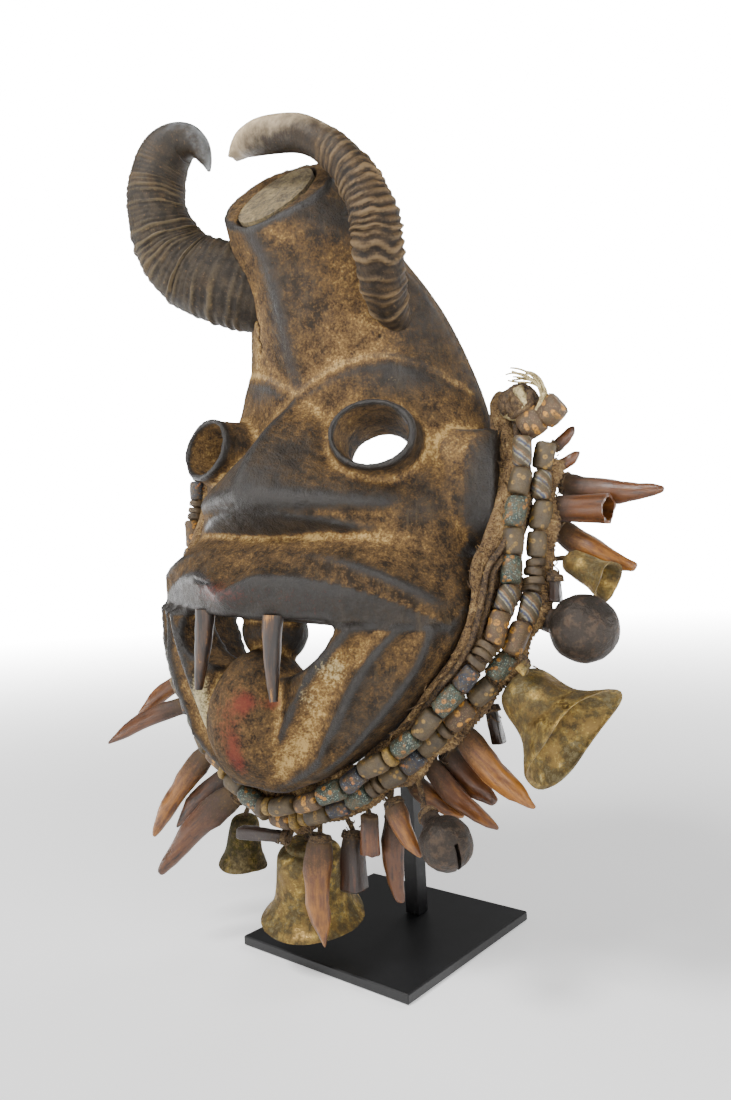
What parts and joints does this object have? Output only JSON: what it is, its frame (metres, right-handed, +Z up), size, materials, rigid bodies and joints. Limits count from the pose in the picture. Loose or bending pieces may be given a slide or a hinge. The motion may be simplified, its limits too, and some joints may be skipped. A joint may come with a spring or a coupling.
{
  "type": "carved face mask on a stand",
  "caption": "Carved wooden mask with tall crest, curled horns, tube eyes and open mouth, framed by a beard of beads, teeth and bells, held up by a rod on a square plate.",
  "frame": {"origin": "centre of the square base plate's underside", "axes": "+Z up; the mask faces -Y; +X is the viewer's right when facing the mask"},
  "size_m": [0.2813, 0.157, 0.396],
  "materials": {
    "steel": "satin black paint",
    "wood": "dark carved wood with dust and old grease",
    "plug": "bare end-grain wood, dry",
    "horn": "ribbed horn, matt",
    "tusk": "streaked horn, half-gloss",
    "fibre": "matted plant fibre",
    "cord": "frayed plant-fibre cord",
    "beads": "opaque powder glass, patterned",
    "tooth": "handled tooth and horn, half-gloss",
    "brass": "cast brass, patinated",
    "iron": "dark rusted iron"
  },
  "bodies": {
    "root": {"ball_01": "iron", "ball_02": "iron", "ball_03": "iron", "base_plate": "steel", "bead_01": "brass", "bead_strand_inner": "beads", "bead_strand_outer": "beads", "beard_collar": "fibre", "bell_01": "brass", "bell_02": "brass", "bell_03": "brass", "bell_04": "brass", "bell_05": "brass", "block_01": "tooth", "block_02": "tooth", "block_03": "tooth", "block_04": "tooth", "cord_tuft": "cord", "crest_plug": "plug", "horn_left": "horn", "horn_right": "horn", "horn_tube": "tooth", "mask_body": "wood", "peg_01": "tooth", "stand_rod": "steel", "tooth_01": "tooth", "tooth_02": "tooth", "tooth_03": "tooth", "tooth_04": "tooth", "tooth_05": "tooth", "tooth_06": "tooth", "tooth_07": "tooth", "tooth_08": "tooth", "tooth_09": "tooth", "tooth_10": "tooth", "tooth_11": "tooth", "tooth_12": "tooth", "tooth_13": "tooth", "tooth_14": "tooth", "tooth_15": "tooth", "tooth_16": "tooth", "tooth_17": "tooth", "tooth_18": "tooth", "tooth_19": "tooth", "tooth_20": "tooth", "tooth_21": "tooth", "tube_02": "tooth", "tusk_left": "tusk", "tusk_right": "tusk"}
  },
  "joints": []
}
